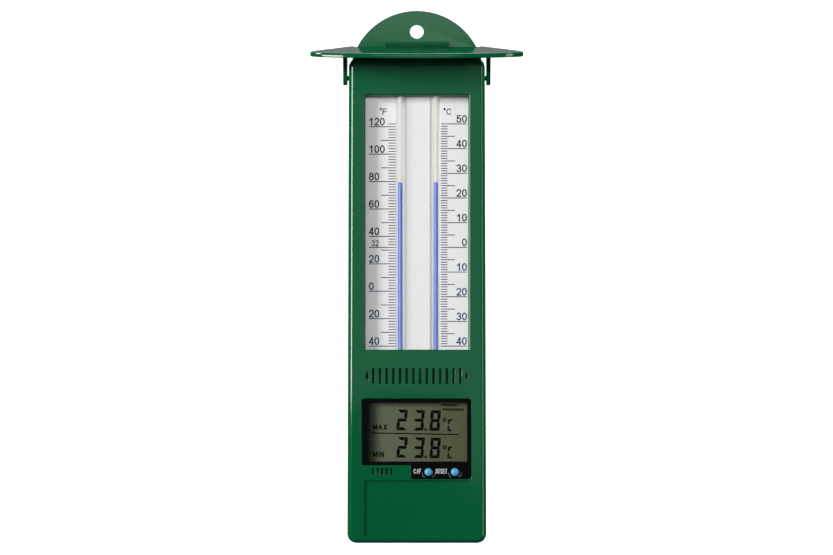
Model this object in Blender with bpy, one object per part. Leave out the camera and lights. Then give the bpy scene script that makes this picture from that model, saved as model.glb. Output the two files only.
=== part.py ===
"""Wall-hung greenhouse thermometer: two liquid tubes over a white scale plate, a digital maximum
and minimum display below them, and a rain hood that clips over the top of the case.

Metres. +X is to the right, the front faces -Y and +Z is up. The origin is the centre of the hanging
hole, on the wall plane y = 0.
"""

import math

import bmesh
import bpy
from mathutils import Vector

MM = 0.001
GAP = 0.3 * MM                      # clearance between pieces that touch on the real object

# Case
CASE_HALF_TOP = 30.4 * MM           # half the width at the top of the case
CASE_HALF_BOTTOM = 31.1 * MM        # and at its bottom: the sides open very slightly downwards
CASE_TOP = -13.7 * MM
CASE_BOTTOM = -230.5 * MM
CASE_CORNER = 4.1 * MM
CASE_FRONT = -22.0 * MM
EDGE_ROUND = 2.3 * MM               # rounding between the front face and the sides
WALL = 2.0 * MM
FRONT_INNER = CASE_FRONT + 1.6 * MM
COVER_FRONT = -2.5 * MM             # inner face of the back cover
HOUSING_BACK = COVER_FRONT - GAP

# Hanging lug, one piece with the back cover
LUG_RADIUS = 30.6 * MM
LUG_CENTRE_Z = -21.1 * MM
HOLE_RADIUS = 3.15 * MM
RIB_HALF = 14.5 * MM
RIB_BOTTOM, RIB_TOP = -6.4 * MM, -4.5 * MM
RIB_DEPTH = 1.0 * MM

# Scale window, plate and tubes
WINDOW_HALF = 23.0 * MM
WINDOW_ROUND = 0.9 * MM             # rounding of the window's front edge
WINDOW_TOP, WINDOW_BOTTOM = -30.5 * MM, -144.0 * MM
PLATE_HALF = 26.8 * MM
PLATE_TOP, PLATE_BOTTOM = -27.6 * MM, -148.6 * MM
PLATE_FRONT, PLATE_BACK = -17.4 * MM, -15.0 * MM
STRIP_LEFT, STRIP_RIGHT = -4.6 * MM, 6.1 * MM
STRIP_FRONT = -18.1 * MM
TUBE_X = {"fahrenheit": -7.4 * MM, "celsius": 8.5 * MM}
TUBE_Y = -18.2 * MM
TUBE_RADIUS = 1.95 * MM
TUBE_TOP = -28.6 * MM
BORE_RADIUS = 0.75 * MM
BULB_RADIUS = 1.75 * MM
BULB_TOP, BULB_BOTTOM = -149.5 * MM, -161.0 * MM
LIQUID_TOP = -69.2 * MM             # both tubes read about 26 degrees C

# Vents: slots over the bulbs, and a few over the sensor of the display
SLOT_ROUND = 0.2 * MM
BULB_VENT_COUNT = 14
BULB_VENT_PITCH = 2.985 * MM
BULB_VENT_SLOT = (0.9 * MM, 7.0 * MM)
BULB_VENT_Z = -155.8 * MM
BULB_VENT_END_X = 21.85 * MM        # inner, flat side of the curved slot at each end
SENSOR_VENT_COUNT = 5
SENSOR_VENT_PITCH = 2.03 * MM
SENSOR_VENT_SLOT = (0.75 * MM, 3.4 * MM)
SENSOR_VENT_X, SENSOR_VENT_Z = -15.45 * MM, -198.4 * MM

# Display: an L-shaped black bezel, its lower right step holding the two buttons
BEZEL_LEFT, BEZEL_RIGHT = -24.3 * MM, 24.0 * MM
BEZEL_TOP, BEZEL_BOTTOM = -166.2 * MM, -195.3 * MM
BEZEL_STEP_X, BEZEL_STEP_BOTTOM = -2.3 * MM, -201.5 * MM
BEZEL_FRONT, BEZEL_BACK = -21.7 * MM, -20.1 * MM
OPENING_ROUND = 0.3 * MM            # rounding of the case's edge round the bezel
LCD_LEFT, LCD_RIGHT = -21.9 * MM, 22.5 * MM
LCD_TOP, LCD_BOTTOM = -167.2 * MM, -194.0 * MM
GLASS_MARGIN = 0.9 * MM             # how far the panes reach behind the bezel
BUTTON_X = {"cf": 5.2 * MM, "reset": 17.0 * MM}
BUTTON_Z = -198.6 * MM
BUTTON_RADIUS = 1.75 * MM
BUTTON_TRAVEL = 0.5 * MM
COLLAR_RADIUS = 2.7 * MM

# Recessed panel at the foot of the case
PANEL_HALF = 23.5 * MM
PANEL_TOP, PANEL_BOTTOM = -202.4 * MM, -227.5 * MM
PANEL_DEPTH = 0.8 * MM
PANEL_ROUND = 0.15 * MM

# Circuit board
BOARD_HALF = 28.3 * MM
BOARD_TOP, BOARD_BOTTOM = -164.2 * MM, -203.2 * MM
BOARD_FRONT, BOARD_BACK = -14.8 * MM, -13.6 * MM
BOARD_POST_X, BOARD_POST_Z = 27.0 * MM, (-167.6 * MM, -199.8 * MM)

# Screws through the back cover
COVER_SCREWS = ((-25.2, -20.0), (25.2, -20.0), (-26.2, -157.4), (26.2, -157.4))

# Battery compartment: one AAA cell lying across, under a door that slides down off the case
CELL_RADIUS, CELL_LENGTH = 5.25 * MM, 44.5 * MM
CELL_CENTRE = (0.9 * MM, -9.3 * MM, -213.0 * MM)
TRAY_HALF = 24.6 * MM
TRAY_BOTTOM, TRAY_TOP = -218.7 * MM, -207.3 * MM
TRAY_FRONT = -15.2 * MM
TRAY_WALL = 1.0 * MM
DOOR_HALF, DOOR_LIP = 26.0 * MM, 1.0 * MM
DOOR_TOP, DOOR_BOTTOM = -204.6 * MM, -230.2 * MM
DOOR_BACK, DOOR_FRONT = -0.1 * MM, -1.4 * MM
DOOR_LIP_BACK = -0.9 * MM

# Rain hood: a flat half-ellipse sloping down to the front, on two arms with inward pins
HOOD_HALF, HOOD_REACH = 47.3 * MM, 37.1 * MM
HOOD_BOW = 10.0 * MM                 # how far its front bows out beyond its widest line
HOOD_REAR_HALF = 30.3 * MM           # half its width at the wall
HOOD_REAR = -0.3 * MM
HOOD_SLOPE = math.tan(math.radians(10.8))
HOOD_THICK = 2.2 * MM
HOOD_TOP_AT_COVER = -6.8 * MM       # height of its top where it meets the back cover
NOTCH_HALF = 28.4 * MM
ARM_INNER, ARM_OUTER = 31.3 * MM, 33.15 * MM
PIVOT_Y, PIVOT_Z = -11.0 * MM, -22.0 * MM
PIN_RADIUS = 1.1 * MM


# ---------------------------------------------------------------- outlines and solids

def arc(centre, radius, start, end, segments):
    """Points of an arc from one angle to another in degrees, both ends included."""
    angles = [math.radians(start + (end - start) * i / segments) for i in range(segments + 1)]
    return [(centre[0] + radius * math.cos(a), centre[1] + radius * math.sin(a)) for a in angles]


def rounded_rect(left, right, bottom, top, radius, segments):
    """Rectangle with rounded corners, anticlockwise from its lower left corner."""
    centres = ((left + radius, bottom + radius), (right - radius, bottom + radius),
               (right - radius, top - radius), (left + radius, top - radius))
    points = []
    for quarter, centre in enumerate(centres):
        points += arc(centre, radius, 180 + 90 * quarter, 270 + 90 * quarter, segments)
    return points


def case_outline(inset):
    """Outline of the case in the XZ plane, set in by a distance, with its slight flare downwards."""
    flare = CASE_HALF_BOTTOM / CASE_HALF_TOP - 1
    half = CASE_HALF_TOP - inset
    points = rounded_rect(-half, half, CASE_BOTTOM + inset, CASE_TOP - inset, CASE_CORNER - inset, 6)
    return [(x * (1 + flare * (CASE_TOP - z) / (CASE_TOP - CASE_BOTTOM)), z) for x, z in points]


def bezel_outline(offset, radius):
    """L-shaped outline of the display, moved outwards by a distance, with rounded outer corners."""
    left, right = BEZEL_LEFT - offset, BEZEL_RIGHT + offset
    top, bottom = BEZEL_TOP + offset, BEZEL_BOTTOM - offset
    step_x, step_z = BEZEL_STEP_X - offset, BEZEL_STEP_BOTTOM - offset
    points = arc((left + radius, bottom + radius), radius, 180, 270, 3)
    points.append((step_x, bottom))
    points += arc((step_x + radius, step_z + radius), radius, 180, 270, 3)
    points += arc((right - radius, step_z + radius), radius, 270, 360, 3)
    points += arc((right - radius, top - radius), radius, 0, 90, 3)
    return points + arc((left + radius, top - radius), radius, 90, 180, 3)


def add_loft(bm, rings):
    """Closed body through rings of equal point counts, with a flat face at each end."""
    loops = [[bm.verts.new(point) for point in ring] for ring in rings]
    for near, far in zip(loops, loops[1:]):
        for i in range(len(near)):
            j = (i + 1) % len(near)
            bm.faces.new((near[i], near[j], far[j], far[i]))
    bm.faces.new(loops[0])
    bm.faces.new(loops[-1])


def add_prism(bm, outline, back, front):
    """Outline in the XZ plane carried from one depth to another."""
    add_loft(bm, [[(x, y, z) for x, z in outline] for y in (back, front)])


def add_opening(bm, outline_at, back, edge, steps):
    """Cutter for an opening in the front face, its mouth flared to leave a rounded edge.

    outline_at gives the opening's outline, grown outwards by a distance.
    """
    rings = [(back, 0)]
    for step in range(steps + 1):
        angle = math.pi / 2 * step / steps
        rings.append((CASE_FRONT + edge * (1 - math.sin(angle)), edge * (1 - math.cos(angle))))
    rings.append((CASE_FRONT - 0.5 * MM, edge))
    add_loft(bm, [[(x, y, z) for x, z in outline_at(grow)] for y, grow in rings])


def add_box(bm, x, y, z):
    """Box between the two limits given for each axis."""
    add_prism(bm, [(x[0], z[0]), (x[1], z[0]), (x[1], z[1]), (x[0], z[1])], y[0], y[1])


def add_turned(bm, profile, segments, place=(0, 0, 0), axis="Y"):
    """Body turned about an axis through a place, from (radius, distance along the axis) pairs."""
    order = {"X": (2, 0, 1), "Y": (0, 2, 1), "Z": (0, 1, 2)}[axis]
    loops = []
    for radius, along in profile:
        count = segments if radius > 0 else 1
        angles = [2 * math.pi * i / count for i in range(count)]
        points = [(radius * math.cos(a), radius * math.sin(a), along) for a in angles]
        loops.append([bm.verts.new(Vector(place) + Vector([point[i] for i in order])) for point in points])
    for near, far in zip(loops, loops[1:]):
        for i in range(segments):
            j = i + 1
            corners = [near[i % len(near)], near[j % len(near)], far[j % len(far)], far[i % len(far)]]
            bm.faces.new(list(dict.fromkeys(corners)))
    for loop in (loops[0], loops[-1]):
        if len(loop) > 1:
            bm.faces.new(loop)


def dome(radius, height, base, steps):
    """Profile of a shallow dome on the -Y side: from its rim at base to its crown."""
    angles = [math.pi / 2 * i / steps for i in range(steps + 1)]
    points = [(radius * math.cos(a), base - height * math.sin(a)) for a in angles]
    return points[:-1] + [(0, base - height)]


# ---------------------------------------------------------------- objects

def make_material(name, colour, roughness, metallic=0.0, alpha=1.0):
    """Principled material of one colour."""
    material = bpy.data.materials.new(name)
    material.use_nodes = True
    shader = material.node_tree.nodes["Principled BSDF"]
    shader.inputs["Base Color"].default_value = (*colour, 1.0)
    shader.inputs["Roughness"].default_value = roughness
    shader.inputs["Metallic"].default_value = metallic
    shader.inputs["Alpha"].default_value = alpha
    return material


def make_object(name, bm, material, origin=(0, 0, 0), place=None):
    """Object from a mesh modelled in the frame, with its origin moved to a point.

    With a place, the mesh is already modelled about its own origin and is only put there.
    """
    if place is None:
        bmesh.ops.translate(bm, verts=bm.verts, vec=-Vector(origin))
        place = origin
    bmesh.ops.recalc_face_normals(bm, faces=bm.faces)
    mesh = bpy.data.meshes.new(name)
    bm.to_mesh(mesh)
    bm.free()
    mesh.shade_smooth()
    mesh.set_sharp_from_angle(angle=math.radians(35))
    mesh.materials.append(material)
    made = bpy.data.objects.new(name, mesh)
    made.location = place
    bpy.context.scene.collection.objects.link(made)
    return made


def combine(target, bm, operation):
    """Cut a mesh out of an object, or fuse it on, with a Boolean that stays live."""
    tool = make_object(f"{target.name}_{operation.lower()}", bm, target.data.materials[0])
    tool.hide_render = True
    tool.display_type = "WIRE"
    modifier = target.modifiers.new(operation.title(), "BOOLEAN")
    modifier.solver = "EXACT"
    modifier.operation = operation
    modifier.object = tool


def soften_edges(target, width):
    """Round an object's sharp edges with a live Bevel."""
    bevel = target.modifiers.new("Edges", "BEVEL")
    bevel.width = width
    bevel.segments = 2
    bevel.limit_method = "ANGLE"
    bevel.angle_limit = math.radians(50)


def new_box(name, material, x, y, z):
    """Plain rectangular piece, with its origin at its centre."""
    bm = bmesh.new()
    add_box(bm, x, y, z)
    return make_object(name, bm, material, origin=[sum(limits) / 2 for limits in (x, y, z)])


# ---------------------------------------------------------------- case

def add_vents(bm, back):
    """Slots in front of the bulbs, their two curved end slots, and the sensor's slots."""
    for count, pitch, (width, height), middle, level in (
            (BULB_VENT_COUNT, BULB_VENT_PITCH, BULB_VENT_SLOT, 0, BULB_VENT_Z),
            (SENSOR_VENT_COUNT, SENSOR_VENT_PITCH, SENSOR_VENT_SLOT, SENSOR_VENT_X, SENSOR_VENT_Z)):
        for i in range(count):
            x = middle + (i - (count - 1) / 2) * pitch

            def slot(grow, x=x, half_width=width / 2, half_height=height / 2, level=level):
                return rounded_rect(x - half_width - grow, x + half_width + grow,
                                    level - half_height - grow, level + half_height + grow,
                                    0.3 * MM + grow, 2)

            add_opening(bm, slot, back, SLOT_ROUND, 1)
    bulge = 0.9 * MM
    for side, half_height in ((-1, 2.3 * MM), (1, 1.7 * MM)):
        def crescent(grow, side=side, half_height=half_height):
            half, width = half_height + grow, bulge + 2 * grow
            radius = (half ** 2 + width ** 2) / (2 * width)
            spread = math.degrees(math.asin(half / radius))
            curve = arc((BULB_VENT_END_X - grow + width - radius, BULB_VENT_Z), radius, -spread, spread, 6)
            return [(side * x, z) for x, z in curve]

        add_opening(bm, crescent, back, SLOT_ROUND, 1)


def make_front_housing(green):
    """Moulded front shell, open at the back, with its window, vents, recess and inner posts."""
    rings = [(FRONT_INNER, WALL), (HOUSING_BACK, WALL), (HOUSING_BACK, 0)]
    for step in range(6):
        angle = math.radians(90 * step / 5)
        rings.append((CASE_FRONT + EDGE_ROUND * (1 - math.sin(angle)), EDGE_ROUND * (1 - math.cos(angle))))
    bm = bmesh.new()
    add_loft(bm, [[(x, y, z) for x, z in case_outline(inset)] for y, inset in rings])
    housing = make_object("front_housing", bm, green)

    posts = bmesh.new()
    into_front = FRONT_INNER - 0.5 * MM
    for x, z in COVER_SCREWS:
        add_turned(posts, [(2.7 * MM, HOUSING_BACK), (2.7 * MM, into_front)], 16, (x * MM, 0, z * MM))
    for side in (-1, 1):
        for z in BOARD_POST_Z:
            add_turned(posts, [(2.2 * MM, BOARD_FRONT - GAP), (2.2 * MM, into_front)], 12,
                       (side * BOARD_POST_X, 0, z))
        rib = sorted((side * 24.8 * MM, side * 26.2 * MM))
        add_box(posts, rib, (PLATE_FRONT - GAP, into_front), (-141 * MM, -34 * MM))
    combine(housing, posts, "UNION")

    cuts = bmesh.new()
    behind = FRONT_INNER + 1 * MM
    add_vents(cuts, behind)
    for outline_at, back, edge, steps in (
            (lambda grow: rounded_rect(-WINDOW_HALF - grow, WINDOW_HALF + grow, WINDOW_BOTTOM - grow,
                                       WINDOW_TOP + grow, 0.2 * MM + grow, 3), behind, WINDOW_ROUND, 3),
            (lambda grow: bezel_outline(GAP + grow, 1.2 * MM + grow), behind, OPENING_ROUND, 2),
            (lambda grow: rounded_rect(-PANEL_HALF - grow, PANEL_HALF + grow, PANEL_BOTTOM - grow,
                                       PANEL_TOP + grow, 0.8 * MM + grow, 3),
             CASE_FRONT + PANEL_DEPTH, PANEL_ROUND, 2)):
        add_opening(cuts, outline_at, back, edge, steps)
    for x, z in COVER_SCREWS:
        add_turned(cuts, [(1.4 * MM, HOUSING_BACK + 1 * MM), (1.4 * MM, -13.5 * MM)], 12, (x * MM, 0, z * MM))
    for side in (-1, 1):
        for z in BOARD_POST_Z:
            add_turned(cuts, [(1.05 * MM, BOARD_FRONT + 1 * MM), (1.05 * MM, -19.6 * MM)], 10,
                       (side * BOARD_POST_X, 0, z))
        bore = sorted((side * (CASE_HALF_TOP - 3 * MM), side * (CASE_HALF_TOP + 2 * MM)))
        add_turned(cuts, [(PIN_RADIUS + 0.25 * MM, x) for x in bore], 16, (0, PIVOT_Y, PIVOT_Z), "X")
    combine(housing, cuts, "DIFFERENCE")


def make_back_cover(green):
    """Back cover with the hanging lug, the rib that stops the hood and the battery tray."""
    outline = arc((0, LUG_CENTRE_Z), LUG_RADIUS, 0, 180, 32)
    for side, start in ((-1, 180), (1, 270)):
        corner = (side * (CASE_HALF_BOTTOM - CASE_CORNER), CASE_BOTTOM + CASE_CORNER)
        outline += arc(corner, CASE_CORNER, start, start + 90, 6)
    bm = bmesh.new()
    add_prism(bm, outline, 0, COVER_FRONT)
    cover = make_object("back_cover", bm, green)
    soften_edges(cover, 0.35 * MM)

    into_cover = COVER_FRONT + 0.6 * MM
    extra = bmesh.new()
    add_box(extra, (-RIB_HALF, RIB_HALF), (into_cover, COVER_FRONT - RIB_DEPTH), (RIB_BOTTOM, RIB_TOP))
    add_box(extra, (-28.3 * MM, 28.3 * MM), (into_cover, -4.0 * MM), (-227.2 * MM, -204.0 * MM))
    for side in (-1, 1):
        rib = sorted((side * 18 * MM, side * 19.2 * MM))
        add_box(extra, rib, (into_cover, PLATE_BACK + GAP), (-130 * MM, -50 * MM))
    combine(cover, extra, "UNION")
    tray = bmesh.new()
    add_box(tray, (-TRAY_HALF - TRAY_WALL, TRAY_HALF + TRAY_WALL), (-3.0 * MM, TRAY_FRONT - TRAY_WALL),
            (TRAY_BOTTOM - TRAY_WALL, TRAY_TOP + TRAY_WALL))
    combine(cover, tray, "UNION")

    slide = bmesh.new()
    floor = DOOR_FRONT - GAP
    below = CASE_BOTTOM - 1 * MM
    channel = [(DOOR_HALF + GAP, 1 * MM), (DOOR_HALF + GAP, DOOR_LIP_BACK + GAP),
               (DOOR_HALF + DOOR_LIP + GAP, DOOR_LIP_BACK + GAP), (DOOR_HALF + DOOR_LIP + GAP, floor)]
    section = channel + [(-x, y) for x, y in reversed(channel)]
    add_loft(slide, [[(x, y, z) for x, y in section] for z in (below, DOOR_TOP + GAP)])
    combine(cover, slide, "DIFFERENCE")

    cuts = bmesh.new()
    add_turned(cuts, [(HOLE_RADIUS, 1 * MM), (HOLE_RADIUS, COVER_FRONT - 1 * MM)], 32)
    add_box(cuts, (-TRAY_HALF, TRAY_HALF), (-1.0 * MM, TRAY_FRONT), (TRAY_BOTTOM, TRAY_TOP))
    for x, z in COVER_SCREWS:
        head = [(2.9 * MM, 1 * MM), (2.9 * MM, -1.35 * MM), (1.45 * MM, -1.35 * MM), (1.45 * MM, -3.5 * MM)]
        add_turned(cuts, head, 16, (x * MM, 0, z * MM))
    combine(cover, cuts, "DIFFERENCE")
    outlets = bmesh.new()
    for x in (-22.9 * MM, 23.6 * MM):
        add_turned(outlets, [(0.85 * MM, TRAY_TOP - 1 * MM), (0.85 * MM, TRAY_TOP + 2 * MM)], 10,
                   (x, CELL_CENTRE[1], 0), "Z")
    combine(cover, outlets, "DIFFERENCE")


def make_screw(name, steel, place, head, shank):
    """Cross-head screw pointing to -Y, its head's outer face at its origin.

    Head and shank are (radius, length) pairs.
    """
    bm = bmesh.new()
    (head_radius, head_height), (radius, length) = head, shank
    tip = -head_height - length
    add_turned(bm, [(head_radius * 0.8, 0), (head_radius, -0.3 * head_height), (head_radius, -head_height),
                    (radius, -head_height), (radius, tip + radius), (0, tip)], 14)
    made = make_object(name, bm, steel, place=place)
    cross = bmesh.new()
    arm, half = head_radius * 0.6, head_radius * 0.13
    plus = [(half, half), (half, arm), (-half, arm), (-half, half), (-arm, half), (-arm, -half),
            (-half, -half), (-half, -arm), (half, -arm), (half, -half), (arm, -half), (arm, half)]
    add_prism(cross, [(place[0] + x, place[2] + z) for x, z in plus],
              place[1] + 0.5 * MM, place[1] - 0.55 * head_height)
    combine(made, cross, "DIFFERENCE")


# ---------------------------------------------------------------- scale and tubes

def make_scale_plate(white):
    """White plate with a groove for each tube and a raised strip between them."""
    bm = bmesh.new()
    add_box(bm, (-PLATE_HALF, PLATE_HALF), (PLATE_BACK, PLATE_FRONT), (PLATE_BOTTOM, PLATE_TOP))
    plate = make_object("scale_plate", bm, white)
    strip = bmesh.new()
    add_box(strip, (STRIP_LEFT, STRIP_RIGHT), (PLATE_FRONT + 0.8 * MM, STRIP_FRONT),
            (PLATE_BOTTOM, PLATE_TOP))
    combine(plate, strip, "UNION")
    grooves = bmesh.new()
    for x in TUBE_X.values():
        add_turned(grooves, [(TUBE_RADIUS + GAP, PLATE_BOTTOM - 1 * MM), (TUBE_RADIUS + GAP, TUBE_TOP + GAP)],
                   20, (x, TUBE_Y, 0), "Z")
    combine(plate, grooves, "DIFFERENCE")


def make_tube(side, glass, liquid):
    """Glass tube with its bore and bulb, and the column of liquid inside it."""
    neck = 0.8 * MM
    outside = [(0, BULB_BOTTOM), (BULB_RADIUS * 0.7, BULB_BOTTOM + 0.5 * MM),
               (BULB_RADIUS, BULB_BOTTOM + 1.7 * MM), (BULB_RADIUS, BULB_TOP),
               (TUBE_RADIUS, BULB_TOP + neck), (TUBE_RADIUS, TUBE_TOP - 0.4 * MM),
               (TUBE_RADIUS - 0.4 * MM, TUBE_TOP)]
    inner_bulb = BULB_RADIUS - 0.5 * MM
    inside = [(BORE_RADIUS, TUBE_TOP), (BORE_RADIUS, BULB_TOP + neck), (inner_bulb, BULB_TOP - neck),
              (inner_bulb, BULB_BOTTOM + 1.7 * MM), (0, BULB_BOTTOM + 0.7 * MM)]
    place = (TUBE_X[side], TUBE_Y, 0)
    bm = bmesh.new()
    add_turned(bm, outside + inside, 16, place, "Z")
    make_object(f"glass_tube_{side}", bm, glass, origin=place)

    thread, pool = BORE_RADIUS - GAP, inner_bulb - GAP
    bm = bmesh.new()
    add_turned(bm, [(0, BULB_BOTTOM + 1.1 * MM), (pool, BULB_BOTTOM + 2.1 * MM),
                    (pool, BULB_TOP - neck - GAP), (thread, BULB_TOP + neck - GAP), (thread, LIQUID_TOP)],
               10, place, "Z")
    make_object(f"liquid_{side}", bm, liquid, origin=place)


# ---------------------------------------------------------------- display and electronics

def make_bezel(black):
    """L-shaped frame of the display, with a raised collar round each button's hole."""
    bm = bmesh.new()
    add_prism(bm, bezel_outline(0, 1.0 * MM), BEZEL_BACK, BEZEL_FRONT)
    bezel = make_object("lcd_bezel", bm, black)
    collars = bmesh.new()
    cuts = bmesh.new()
    add_box(cuts, (LCD_LEFT, LCD_RIGHT), (BEZEL_BACK + 1 * MM, BEZEL_FRONT - 1 * MM), (LCD_BOTTOM, LCD_TOP))
    for x in BUTTON_X.values():
        place = (x, 0, BUTTON_Z)
        add_turned(collars, [(COLLAR_RADIUS, BEZEL_FRONT + 0.5 * MM), (COLLAR_RADIUS - 0.1 * MM, CASE_FRONT)],
                   24, place)
        hole = BUTTON_RADIUS + GAP
        add_turned(cuts, [(hole, BEZEL_BACK + 1 * MM), (hole, CASE_FRONT - 1 * MM)], 20, place)
    combine(bezel, collars, "UNION")
    combine(bezel, cuts, "DIFFERENCE")


def make_display(clear, lcd, rubber):
    """Clear pane, liquid crystal panel and the rubber connector strip behind its lower edge."""
    width = (LCD_LEFT - GLASS_MARGIN, LCD_RIGHT + GLASS_MARGIN)
    height = (LCD_BOTTOM - GLASS_MARGIN, LCD_TOP + GLASS_MARGIN)
    pane_front = BEZEL_BACK + GAP
    pane_back = pane_front + 0.6 * MM
    panel_front = pane_back + GAP
    panel_back = panel_front + 1.4 * MM
    new_box("display_window", clear, width, (pane_back, pane_front), height)
    new_box("lcd_panel", lcd, width, (panel_back, panel_front), height)
    new_box("zebra_strip", rubber, (-21 * MM, 21.6 * MM), (BOARD_FRONT - GAP, panel_back + GAP),
            (-194.2 * MM, -191.8 * MM))


def make_circuit_board(board_green, steel, black):
    """Circuit board with its screws, potted controller chip and crystal."""
    bm = bmesh.new()
    outline = rounded_rect(-BOARD_HALF, BOARD_HALF, BOARD_BOTTOM, BOARD_TOP, 1.5 * MM, 3)
    add_prism(bm, outline, BOARD_BACK, BOARD_FRONT)
    board = make_object("circuit_board", bm, board_green)
    holes = bmesh.new()
    number = 0
    for z in BOARD_POST_Z:
        for x in (-BOARD_POST_X, BOARD_POST_X):
            number += 1
            hole = 1.05 * MM
            add_turned(holes, [(hole, BOARD_BACK + 1 * MM), (hole, BOARD_FRONT - 1 * MM)], 10, (x, 0, z))
            make_screw(f"board_screw_{number}", steel, (x, BOARD_BACK + GAP + 0.9 * MM, z),
                       (1.9 * MM, 0.9 * MM), (0.75 * MM, 5.0 * MM))
    combine(board, holes, "DIFFERENCE")

    bm = bmesh.new()
    chip = (-12 * MM, BOARD_BACK + GAP, -180 * MM)
    add_turned(bm, [(radius, -along) for radius, along in dome(5 * MM, 1.5 * MM, 0, 4)], 20, chip)
    make_object("controller_chip", bm, black, origin=chip)
    bm = bmesh.new()
    can_radius = 1.0 * MM
    crystal = (6 * MM, BOARD_BACK + GAP + can_radius, -188 * MM)
    add_turned(bm, [(0.8 * MM, 0), (can_radius, 0.3 * MM), (can_radius, 5.7 * MM), (0.8 * MM, 6 * MM)],
               12, crystal, "Z")
    make_object("crystal", bm, steel, origin=crystal)


def make_thermistor(dark):
    """Temperature sensor: a small bead on two leads, behind the small slots."""
    bm = bmesh.new()
    bead, middle = 1.25 * MM, -18.6 * MM
    angles = [math.radians(-90 + 30 * i) for i in range(7)]
    ball = [(bead * math.cos(a), middle + bead * math.sin(a)) for a in angles]
    place = (SENSOR_VENT_X, 0, SENSOR_VENT_Z)
    add_turned(bm, [(0, ball[0][1])] + ball[1:-1] + [(0, ball[-1][1])], 12, place)
    sensor = make_object("thermistor", bm, dark)
    leads = bmesh.new()
    for side in (-1, 1):
        add_turned(leads, [(0.25 * MM, BOARD_FRONT - GAP), (0.25 * MM, middle)], 8,
                   (SENSOR_VENT_X + side * 0.6 * MM, 0, SENSOR_VENT_Z))
    combine(sensor, leads, "UNION")


def make_button(name, blue, black, white):
    """Blue push button, and the tactile switch behind it with its own plunger."""
    place = (BUTTON_X[name], 0, BUTTON_Z)
    flange_front = BEZEL_BACK + GAP
    flange_back = flange_front + 0.6 * MM
    switch_front = flange_back + 0.9 * MM
    bm = bmesh.new()
    crown = dome(BUTTON_RADIUS, 0.8 * MM, CASE_FRONT - 0.2 * MM, 4)
    add_turned(bm, [(2.5 * MM, flange_back), (2.5 * MM, flange_front), (BUTTON_RADIUS, flange_front)] + crown,
               20, place)
    make_object(f"button_{name}", bm, blue, origin=place)

    plunger = 1.5 * MM
    bm = bmesh.new()
    add_turned(bm, [(plunger, switch_front + 0.7 * MM), (plunger, flange_back + GAP)], 14, place)
    make_object(f"switch_plunger_{name}", bm, white, origin=place)

    base = new_box(f"switch_base_{name}", black, (place[0] - 3 * MM, place[0] + 3 * MM),
                   (BOARD_FRONT - GAP, switch_front), (BUTTON_Z - 3 * MM, BUTTON_Z + 3 * MM))
    well = bmesh.new()
    well_floor = switch_front + 0.7 * MM + BUTTON_TRAVEL + 0.2 * MM
    add_turned(well, [(plunger + GAP, well_floor), (plunger + GAP, switch_front - 1 * MM)], 16, place)
    combine(base, well, "DIFFERENCE")


# ---------------------------------------------------------------- battery

def make_wire(name, material, route):
    """Insulated wire 1 mm thick, on a smooth curve through its route's points in millimetres."""
    points = [Vector(point) * MM for point in route]
    path = []
    for i in range(len(points) - 1):
        before = points[max(i - 1, 0)]
        start, end = points[i], points[i + 1]
        after = points[min(i + 2, len(points) - 1)]
        for step in range(4):
            t = step / 4
            path.append(0.5 * (2 * start + (end - before) * t
                               + (2 * before - 5 * start + 4 * end - after) * t ** 2
                               + (3 * start - before - 3 * end + after) * t ** 3))
    path.append(points[-1])
    curve = bpy.data.curves.new(name, "CURVE")
    curve.dimensions = "3D"
    curve.bevel_depth = 0.5 * MM
    curve.bevel_resolution = 2
    curve.use_fill_caps = True
    spline = curve.splines.new("POLY")
    spline.points.add(len(path) - 1)
    for target, point in zip(spline.points, path):
        target.co = (*point, 1)
    curve.materials.append(material)
    bpy.context.scene.collection.objects.link(bpy.data.objects.new(name, curve))


def make_spring(steel, end_x):
    """Conical spring contact: three turns of wire opening towards the tray's wall."""
    turns, steps = 3, 14
    centre_y, centre_z = CELL_CENTRE[1:]
    curve = bpy.data.curves.new("battery_spring", "CURVE")
    curve.dimensions = "3D"
    curve.bevel_depth = 0.28 * MM
    curve.bevel_resolution = 1
    curve.use_fill_caps = True
    spline = curve.splines.new("POLY")
    spline.points.add(turns * steps)
    for i, target in enumerate(spline.points):
        along = i / (turns * steps)
        angle = 2 * math.pi * turns * along
        radius = (3.6 - 1.9 * along) * MM
        target.co = (end_x + (0.4 + 1.95 * along) * MM, centre_y + radius * math.cos(angle),
                     centre_z + radius * math.sin(angle), 1)
    curve.materials.append(steel)
    bpy.context.scene.collection.objects.link(bpy.data.objects.new("battery_spring", curve))


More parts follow.
